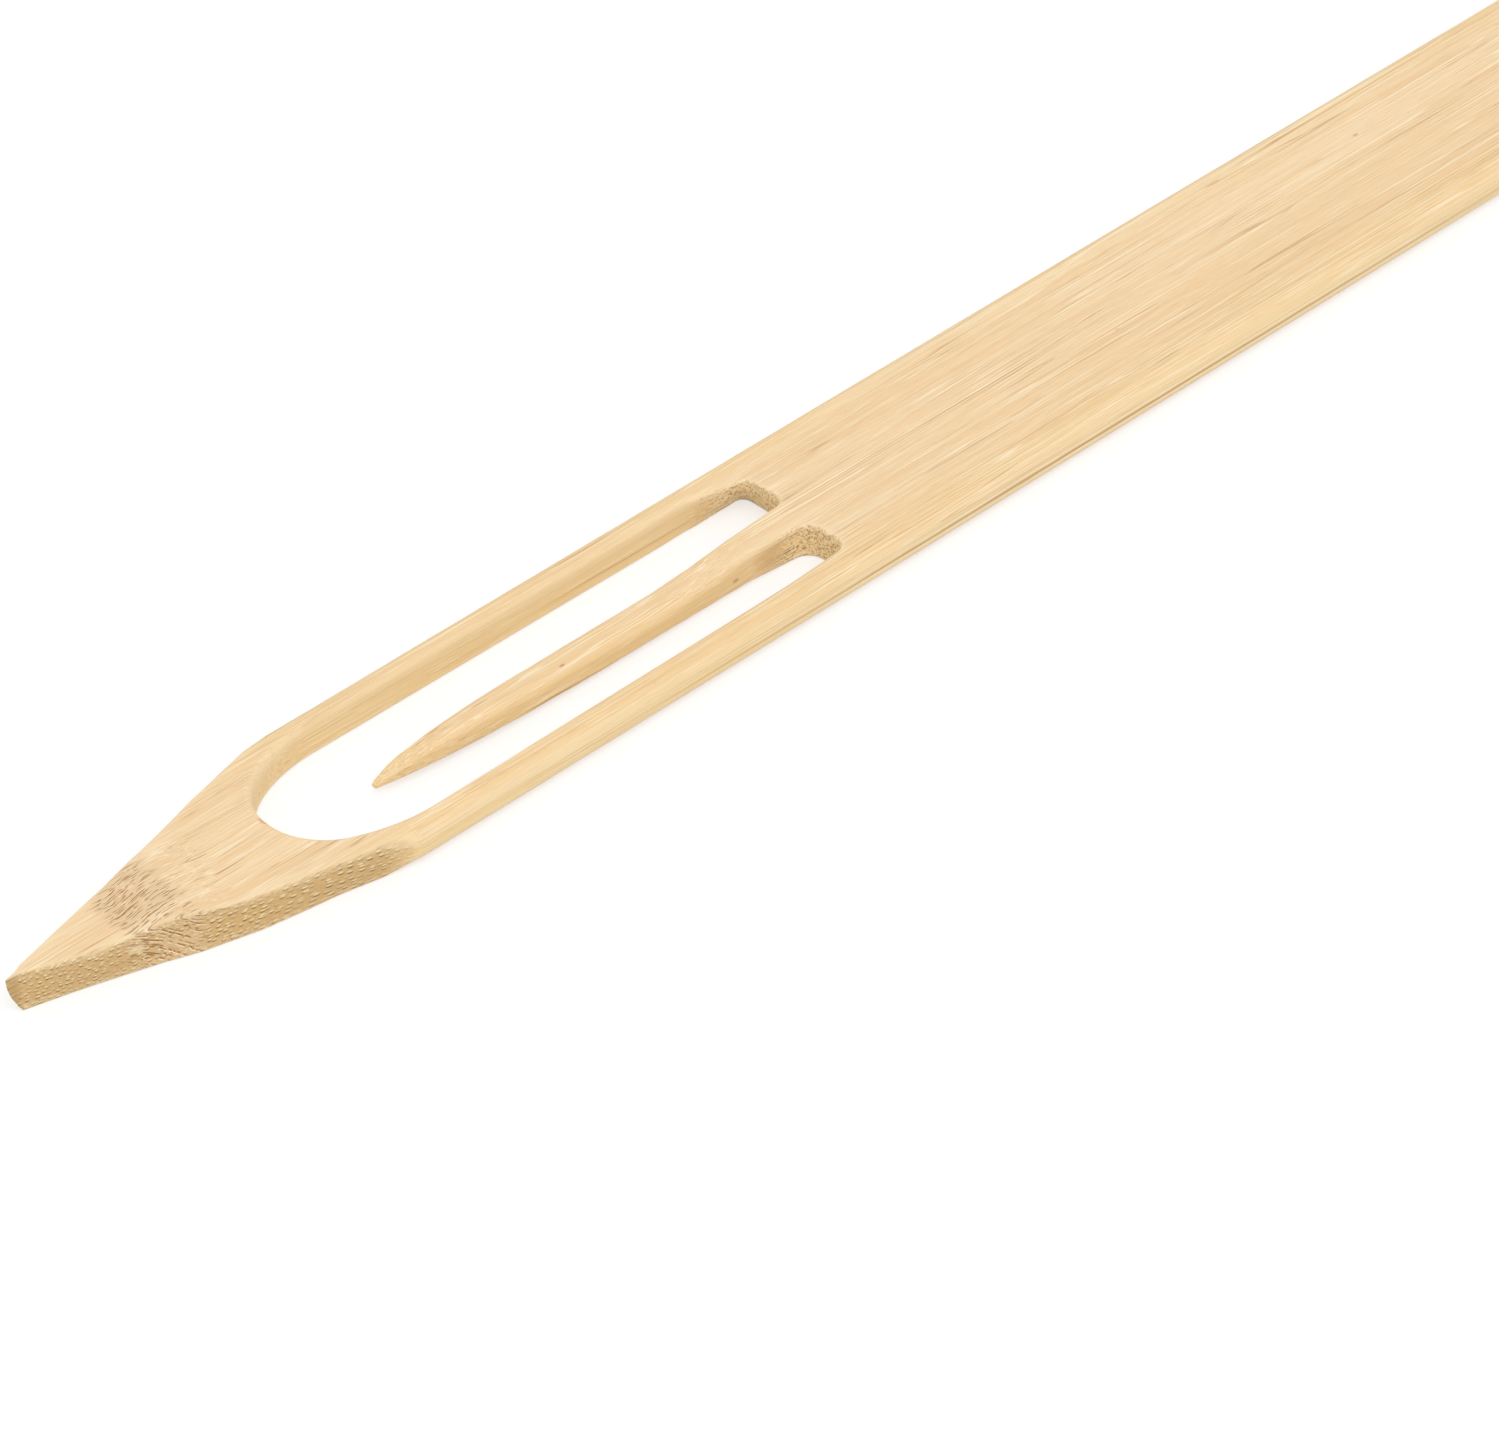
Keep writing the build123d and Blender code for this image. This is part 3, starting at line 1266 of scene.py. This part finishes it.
    def face(self, rims: list[Rim], upper: bool) -> tuple[np.ndarray, np.ndarray, np.ndarray]:
        """Fill the upper or the lower face with triangles.

        Args:
            rims: The outer outline and the eye.
            upper: Whether it is the upper face.

        Returns:
            Vertices, triangles and how raw the wood is at each vertex. The rims' stations come first.
        """
        loops = [rim.upper if upper else rim.lower for rim in rims]
        softs = [rim.soft if upper else rim.under for rim in rims]
        fence, owners = self.fence(loops, [np.zeros(len(loop)) for loop in loops])
        groups = [Points(loop, rim.depth, soft, rim.raw) for rim, loop, soft in zip(rims, loops, softs)]
        for rim, loop, soft in zip(rims, loops, softs):
            groups += self.edge(rim, loop, soft, fence)
        soft = np.concatenate(softs)
        filling = self.filling(loops)
        nearest = [fence.find((x, y, 0)) for x, y in filling]
        filling = filling[[found[2] > soft[owners[found[1]]] for found in nearest]]
        filling = self.spaced(filling, Points.join(groups).place)
        full = np.ones(len(filling))
        groups.append(Points(filling, full * self.half_width, full * self.long_edge, 0 * full))
        points = Points.join(groups)
        triangles = self.triangles(points.place, loops)
        strip_depth = self.half_width - np.abs(points.place[:, 1])
        strip_drop = round_drop(strip_depth, np.full(len(strip_depth), self.long_edge))
        drop = np.maximum(round_drop(points.depth, points.radius), strip_drop)
        height = self.thickness + self.swelling(*points.place.T) - drop if upper else drop
        if not upper:
            triangles = triangles[:, ::-1]
        return np.column_stack((points.place, height)), triangles, points.raw

    def edge(self, rim: Rim, loop: np.ndarray, soft: np.ndarray, fence: kdtree.KDTree) -> list[Points]:
        """Rows of points over the rounded edge of a face.

        Args:
            rim: Outline that the edge follows.
            loop: Its stations on this face.
            soft: Radius of the edge at each of them.
            fence: Points along all outlines of the face.

        Returns:
            The rows. Points that come too near to another wall are left out, and so is the butt joint.
        """
        inward = Rim.inward(loop)
        reach = np.maximum(soft, self.long_edge - (self.half_width - np.abs(loop[:, 1])))
        at_flex = np.abs(loop[:, 0] - self.flex_x) < MM
        keep = (rim.butt < 0.5) & ~(at_flex & (np.abs(loop[:, 1]) < self.half_width / 2))
        rows = []
        for row in range(1, self.edge_rows + 1):
            depth = reach * (1 - math.cos(QUARTER_TURN * row / self.edge_rows))
            moved = loop + inward * depth[:, None]
            clear = keep & (gaps(moved, fence) > depth * self.clearance)
            raw = rim.raw * (1 - row / self.edge_rows)
            rows.append(Points(moved[clear], depth[clear], soft[clear], raw[clear]))
        return rows

    def spaced(self, filling: np.ndarray, placed: np.ndarray) -> np.ndarray:
        """Points of a filling that don't crowd the points already placed.

        Args:
            filling: Places to choose from.
            placed: Places of the points that stand already.

        Returns:
            The chosen places.
        """
        return filling[gaps(self.stretch(filling), finder(self.stretch(placed))) > self.spacing]

    def triangles(self, places: np.ndarray, loops: list[np.ndarray]) -> np.ndarray:
        """Join the points of a face into triangles, as even as can be in the stretched plane.

        Args:
            places: Places of the points, those of the outlines first.
            loops: Outlines of the face.

        Returns:
            Three numbers of points for each triangle that lies in the wood.
        """
        corners = [Vector(point) for point in self.stretch(places)]
        borders = neighbours([len(loop) for loop in loops])
        made = geometry.delaunay_2d_cdt(corners, borders, [], 0, self.merging)
        origin = np.array([group[0] for group in made[3]])
        triangles = origin[np.array(made[2])]
        return triangles[self.inside(places[triangles].mean(axis=1), loops)]

    def fence(self, loops: list[np.ndarray], butts: list[np.ndarray]) -> tuple[kdtree.KDTree, list[int]]:
        """Close row of points along the outlines, to measure distances from.

        Args:
            loops: The outlines.
            butts: For each of them, 1 at the stations whose side is left out and 0 at the others.

        Returns:
            The points, and for each of them the number of the station that it follows.
        """
        posts = []
        owners = []
        station = 0
        for loop, butt in zip(loops, butts):
            for here, there, skipped in zip(loop, np.roll(loop, -1, axis=0), butt):
                count = max(1, math.ceil(float(np.linalg.norm(there - here)) / self.post_gap))
                if skipped < 0.5:
                    posts += [here + (there - here) * step / count for step in range(count)]
                    owners += [station] * count
                station += 1
        return finder(posts), owners

    def filling(self, loops: list[np.ndarray]) -> np.ndarray:
        """Points spread over a face, each column shifted by half a step from the one before.

        Args:
            loops: Outlines of the face.

        Returns:
            The points that lie in the wood.
        """
        found = []
        for index, x in enumerate(self.column_steps()):
            step = self.step_across(x)
            shift = step / 2 if index % 2 else 0.0
            across = np.arange(-self.half_width + shift, self.half_width, step)
            found.append(np.column_stack((np.full(len(across), x), across)))
        points = np.concatenate(found)
        return points[self.inside(points, loops)]

    def build(self) -> bpy.types.Object:
        """Build the blade.

        Returns:
            The piece, not yet joined to the body that it rides on.
        """
        rims = [self.outer().rim(), self.eye().rim()]
        top, top_faces, top_raw = self.face(rims, upper=True)
        bottom, bottom_faces, bottom_raw = self.face(rims, upper=False)
        counts = [len(rim.upper) for rim in rims]
        stations = sum(counts)
        vertices = np.concatenate((top, bottom, *self.rings(top[:stations], bottom[:stations])))
        below_top = [len(top) + len(bottom) + stations * ring for ring in range(self.wall_rings - 1)]
        levels = [0, *below_top, len(top)]
        faces = [*map(tuple, top_faces), *map(tuple, bottom_faces + len(top))]
        for here, there in neighbours(counts):
            for above, below in zip(levels, levels[1:]):
                faces.append((above + here, below + here, below + there, above + there))
        mesh = bpy.data.meshes.new("blade_blank")
        mesh.from_pydata((vertices * MM).tolist(), [], faces)
        wall_raw = np.tile(np.concatenate([rim.raw for rim in rims]), self.wall_rings - 1)
        worn = self.wear(top, bottom, rims)
        beside = np.abs(vertices[:, 1]) < self.seam_half_width
        seam = np.where(beside, ease(np.abs(vertices[:, 0] - self.flex_x), SEAM_REACH, 0.0), 0.0)
        add_attribute(mesh, "cut", np.concatenate((top_raw, bottom_raw, wall_raw)))
        add_attribute(mesh, "grain", vertices)
        add_attribute(mesh, "worn", worn)
        add_attribute(mesh, "firm", np.maximum(seam, worn))
        return finish_piece("blade_wood", Relief().carve(mesh, self.material), self.material)

    def rings(self, high: np.ndarray, low: np.ndarray) -> list[np.ndarray]:
        """Rings of points down the walls, between the rims.

        Args:
            high: Stations of the upper rims.
            low: Stations of the lower rims.

        Returns:
            The rings from the top down, bowed where the wall leans.
        """
        rings = []
        for ring in range(1, self.wall_rings):
            share = 1 - ring / self.wall_rings
            points = low + (high - low) * share
            points[:, :2] = high[:, :2] + (low - high)[:, :2] * (1 - share) ** self.wall_bow
            rings.append(points)
        return rings

    def wear(self, top: np.ndarray, bottom: np.ndarray, rims: list[Rim]) -> np.ndarray:
        """How much handling has polished the wood: most on the edges.

        Args:
            top: Vertices of the upper face.
            bottom: Vertices of the lower face.
            rims: The outer outline and the eye.

        Returns:
            A share for each vertex, those of the walls last.
        """
        butts = [rim.butt for rim in rims]
        shares = []
        for face, loops in ((top, [rim.upper for rim in rims]), (bottom, [rim.lower for rim in rims])):
            gap = gaps(face[:, :2], self.fence(loops, butts)[0])
            shares.append(ease(gap, *self.polish))
        butt = np.concatenate(butts)
        for ring in range(1, self.wall_rings):
            share = min(ring, self.wall_rings - ring) / self.wall_rings
            edge = ease(np.full(len(butt), share * self.thickness), *self.wall_polish)
            shares.append(np.where(butt > 0.5, 0.0, edge))
        return np.concatenate(shares)


def run_tree(tree: bpy.types.NodeTree, values: dict[str, object], mesh: bpy.types.Mesh) -> bpy.types.Mesh:
    """Run a geometry tree on a mesh.

    Args:
        tree: The tree.
        values: What its inputs take, by their names.
        mesh: Mesh that it starts from.

    Returns:
        The result as a plain mesh.
    """
    blank = bpy.data.objects.new("blank", mesh)
    bpy.context.scene.collection.objects.link(blank)
    modifier = blank.modifiers.new(tree.name, "NODES")
    modifier.node_group = tree
    for item in tree.interface.items_tree:
        if item.in_out == "INPUT" and item.name in values:
            modifier[item.identifier] = values[item.name]
    depsgraph = bpy.context.evaluated_depsgraph_get()
    made = bpy.data.meshes.new_from_object(
        blank.evaluated_get(depsgraph), preserve_all_data_layers=True, depsgraph=depsgraph)
    blank.modifiers.clear()
    bpy.data.objects.remove(blank)
    return made


def add_attribute(mesh: bpy.types.Mesh, name: str, values: np.ndarray) -> None:
    """Store one value or vector for each vertex.

    Args:
        mesh: Mesh that takes them.
        name: Name of the attribute.
        values: One row for each vertex.
    """
    vectors = values.ndim == 2
    attribute = mesh.attributes.new(name, "FLOAT_VECTOR" if vectors else "FLOAT", "POINT")
    attribute.data.foreach_set("vector" if vectors else "value", values.astype(np.float32).ravel())


def finish_piece(name: str, mesh: bpy.types.Mesh, material: bpy.types.Material) -> bpy.types.Object:
    """Make an object of a mesh, with smooth faces and crisp corners.

    Args:
        name: Name of the piece.
        mesh: Its mesh.
        material: Its finish.

    Returns:
        The object, in the scene.
    """
    mesh.materials.clear()
    mesh.materials.append(material)
    mesh.shade_smooth()
    mesh.set_sharp_from_angle(angle=SHARP_ANGLE)
    piece = bpy.data.objects.new(name, mesh)
    bpy.context.scene.collection.objects.link(piece)
    return piece


@dataclass
class Tongue:
    """Springy finger that grows from the stub in the eye, thinned and pointed by hand.

    Args:
        material: Its finish.
        flex_x: Place where it starts.
        tip_x: Place of its tip.
        thickness: Its depth at the flex line, which is that of the strip.
        width: Its width along most of its length. The root and the tip have their own.
        depth: Its depth along most of its length.
        edge: Radius of its edges, with those of the root and the tip in the same way.
        tip_height: How far its underside rises at the tip.
        root_reach: Share of its length in which it passes from the root's sizes to the full ones.
        offset: How far its middle line stands off the blade's.
        cells: Number of rows of points along, across and through it.
    """

    material: bpy.types.Material
    flex_x: float
    tip_x: float
    thickness: float
    width: float = 3.45
    root_width: float = 3.25
    depth: float = 2.75
    edge: float = 1.0
    root_edge: float = 0.8
    tip_width: float = 0.6
    tip_depth: float = 0.34
    tip_edge: float = 0.13
    tip_height: float = 0.68
    root_reach: float = 0.3
    offset: float = 0.45
    root_offset: float = 0.425
    tip_offset: float = 0.05
    cells: tuple[int, int, int] = (130, 24, 22)

    def tree(self) -> bpy.types.NodeTree:
        """Build the tree that whittles the tongue out of a bar of squares.

        Returns:
            The tree, with the tongue's sizes as named inputs.
        """
        graph = GeometryTree("whittled_tongue", tree_sizes(self), takes_mesh=False)
        size = graph.size
        bar = graph.node("GeometryNodeMeshCube")
        bar.inputs["Size"].default_value = (2, 2, 2)
        for axis, count in zip("XYZ", self.cells):
            bar.inputs[f"Vertices {axis}"].default_value = count
        along, across, through = graph.axes(Term(graph, graph.node("GeometryNodeInputPosition").outputs[0]))
        place = graph.math("SINE", (along + 1) * (QUARTER_TURN / 2))
        root = graph.math("MAXIMUM", 1 - place / size["Root reach"], 0.0) ** 2
        width, depth, edge = (
            size[tip] + (size[full] - size[tip]) * self.taper(place, power) + (size[end] - size[full]) * root
            for tip, full, end, power in (
                ("Tip width", "Width", "Root width", 4),
                ("Tip depth", "Depth", "Thickness", 7),
                ("Tip edge", "Edge", "Root edge", 5),
            )
        )
        y, z = self.rounded(graph, across * width * 0.5, through * depth * 0.5, width, depth, edge)
        y = y + size["Offset"] + (size["Tip offset"] - size["Offset"]) * place**4
        y = y + (size["Root offset"] - size["Offset"]) * root
        z = z + depth * 0.5 + size["Tip height"] * place**3
        x = size["Flex x"] + (size["Tip x"] - size["Flex x"]) * place
        shaped = graph.node("GeometryNodeSetPosition")
        graph.tree.links.new(bar.outputs[0], shaped.inputs["Geometry"])
        graph.feed(shaped.inputs["Position"], graph.vector(x * MM, y * MM, z * MM))
        graph.close(shaped.outputs[0])
        return graph.tree

    @staticmethod
    def taper(place: Term, power: float) -> Term:
        """Share of the full size left at a place from 0, the flex line, to 1, the tip."""
        return (1 - place**power) ** 0.75

    @staticmethod
    def rounded(graph: Graph, y: Term, z: Term, width: Term, depth: Term, edge: Term) -> tuple[Term, Term]:
        """Move a point of an oblong section onto its rounded corners.

        Args:
            graph: Tree to build in.
            y: Place across the section from its middle.
            z: Place through the section from its middle.
            width: Width of the section.
            depth: Depth of the section.
            edge: Radius of its corners.

        Returns:
            The new places across and through.
        """
        def core(value: Term, size: Term) -> Term:
            """Nearest place inside the section's core."""
            half = size * 0.5 - edge
            return graph.math("MINIMUM", graph.math("MAXIMUM", value, half * -1.0), half)

        core_y, core_z = core(y, width), core(z, depth)
        out_y, out_z = y - core_y, z - core_z
        length = graph.math("SQRT", out_y * out_y + out_z * out_z)
        share = edge / graph.math("MAXIMUM", length, edge)
        return core_y + out_y * share, core_z + out_z * share

    def build(self) -> bpy.types.Object:
        """Build the tongue.

        Returns:
            The piece, which is joined to no body here.
        """
        values = {**tree_sizes(self), "Material": self.material}
        mesh = run_tree(self.tree(), values, bpy.data.meshes.new("tongue_blank"))
        places = np.empty(3 * len(mesh.vertices), np.float32)
        mesh.vertices.foreach_get("co", places)
        places = places.reshape(-1, 3) / MM
        steep = 1 - np.abs([vertex.normal.z for vertex in mesh.vertices])
        add_attribute(mesh, "grain", places)
        add_attribute(mesh, "cut", Cut.SCRAPED.value * ease(steep, 0.0, 0.8))
        add_attribute(mesh, "worn", ease(steep, 0.0, 0.3) * ease(steep, 0.7, 0.4) * 0.6)
        add_attribute(mesh, "firm", ease(places[:, 0] - self.flex_x, SEAM_REACH, 0.0))
        return finish_piece("tongue_wood", Relief().carve(mesh, self.material), self.material)


@dataclass(frozen=True)
class Studio:
    """White studio: a pale floor, a soft overhead lamp, a pale surround and the camera."""

    azimuth: float = 133.979
    elevation: float = 36.8
    distance: float = 780.77
    aim: tuple[float, float, float] = (61.56, 33.43, 19.51)
    lens: float = 227.1
    sensor: float = 36.0
    floor_size: float = 6.0
    floor_gap: float = 0.02
    floor_white: float = 0.85
    floor_shade: float = 0.45
    floor_glow: float = 0.6
    sky: float = 0.78
    lamp_power: float = 5.9
    lamp_size: float = 1.6
    lamp_place: tuple[float, float, float] = (0.35, 0.6, 1.1)

    def build(self) -> None:
        """Set up the floor, the light and the camera."""
        scene = bpy.context.scene
        scene.view_settings.view_transform = "Standard"
        self.camera(scene)
        self.surround(scene)
        self.floor(scene)
        lamp = bpy.data.lights.new("softbox", "AREA")
        lamp.shape = "DISK"
        lamp.size = self.lamp_size
        lamp.energy = self.lamp_power
        holder = bpy.data.objects.new("softbox", lamp)
        holder.location = self.lamp_place
        holder.rotation_euler = (-Vector(self.lamp_place)).to_track_quat("-Z", "Y").to_euler()
        scene.collection.objects.link(holder)

    def camera(self, scene: bpy.types.Scene) -> None:
        """Stand the camera where the photograph was taken from.

        Args:
            scene: Scene that takes it.
        """
        turn, tilt = math.radians(self.azimuth), math.radians(self.elevation)
        back = Vector((math.sin(turn) * math.cos(tilt), -math.cos(turn) * math.cos(tilt), math.sin(tilt)))
        right = Vector((math.cos(turn), math.sin(turn), 0))
        up = back.cross(right)
        data = bpy.data.cameras.new("camera")
        data.lens = self.lens
        data.sensor_width = self.sensor
        camera = bpy.data.objects.new("camera", data)
        place = (Vector(self.aim) + back * self.distance) * MM
        camera.matrix_world = Matrix.Translation(place) @ Matrix((right, up, back)).transposed().to_4x4()
        scene.collection.objects.link(camera)
        scene.camera = camera

    @staticmethod
    def seen(graph: Graph) -> Term:
        """Tell the rays that the camera sees, straight or by a mirror or glass.

        Args:
            graph: Tree to build in.

        Returns:
            1 for such a ray and 0 for any other.
        """
        path = graph.node("ShaderNodeLightPath")
        names = ("Is Camera Ray", "Is Glossy Ray", "Is Transmission Ray")
        camera, glossy, through = (Term(graph, path.outputs[name]) for name in names)
        return graph.math("MAXIMUM", graph.math("MAXIMUM", camera, glossy), through)

    def surround(self, scene: bpy.types.Scene) -> None:
        """Make the pale surround, which looks white and lights the needle softly.

        Args:
            scene: Scene that takes it.
        """
        world = bpy.data.worlds.new("surround")
        world.use_nodes = True
        graph = Graph(world.node_tree)
        background = graph.node("ShaderNodeBackground")
        graph.feed(background.inputs["Strength"], self.seen(graph) * (1 - self.sky) + self.sky)
        background.inputs["Color"].default_value = (1, 1, 1, 1)
        output = graph.node("ShaderNodeOutputWorld")
        world.node_tree.links.new(background.outputs[0], output.inputs[0])
        scene.world = world

    def floor(self, scene: bpy.types.Scene) -> None:
        """Lay the pale floor that the needle lies on. It glows a little for the camera, to look white.

        Args:
            scene: Scene that takes it.
        """
        half = self.floor_size / 2
        mesh = bpy.data.meshes.new("floor")
        corners = [(-half, -half, 0), (half, -half, 0), (half, half, 0), (-half, half, 0)]
        mesh.from_pydata(corners, [], [(0, 1, 2, 3)])
        floor = bpy.data.objects.new("floor", mesh)
        floor.location.z = -self.floor_gap * MM
        scene.collection.objects.link(floor)
        material = bpy.data.materials.new("floor")
        material.use_nodes = True
        graph = Graph(material.node_tree)
        plain = graph.node("ShaderNodeBsdfDiffuse")
        plain.inputs["Color"].default_value = (*[self.floor_white] * 3, 1)
        shaded = graph.node("ShaderNodeBsdfDiffuse")
        shaded.inputs["Color"].default_value = (*[self.floor_shade] * 3, 1)
        glow = graph.node("ShaderNodeEmission")
        glow.inputs["Strength"].default_value = self.floor_glow
        lit = graph.node("ShaderNodeAddShader")
        choice = graph.node("ShaderNodeMixShader")
        output = graph.node("ShaderNodeOutputMaterial")
        links = material.node_tree.links
        links.new(shaded.outputs[0], lit.inputs[0])
        links.new(glow.outputs[0], lit.inputs[1])
        graph.feed(choice.inputs[0], self.seen(graph))
        links.new(plain.outputs[0], choice.inputs[1])
        links.new(lit.outputs[0], choice.inputs[2])
        links.new(choice.outputs[0], output.inputs[0])
        mesh.materials.append(material)


def main() -> None:
    """Build the studio and the needle's two pieces, and join the blade to its body."""
    Studio().build()
    _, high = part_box("blade")
    _, tongue_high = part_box("tongue")
    flex = frame["joints"][0]["pos_m"]
    finish = BambooFinish().material()
    blade = Blade(
        material=finish,
        tip_x=high.x / MM,
        half_width=high.y / MM,
        thickness=tongue_high.z / MM,
        flex_x=flex[0] / MM,
    ).build()
    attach(blade, "blade")
    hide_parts("blade")
    log.info("blade: %d faces", len(blade.data.polygons))
    tongue = Tongue(
        material=finish,
        flex_x=flex[0] / MM,
        tip_x=tongue_high.x / MM,
        thickness=tongue_high.z / MM,
    ).build()
    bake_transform(tongue)
    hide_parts("tongue")
    log.info("tongue: %d faces", len(tongue.data.polygons))


if __name__ == "__main__":
    main()
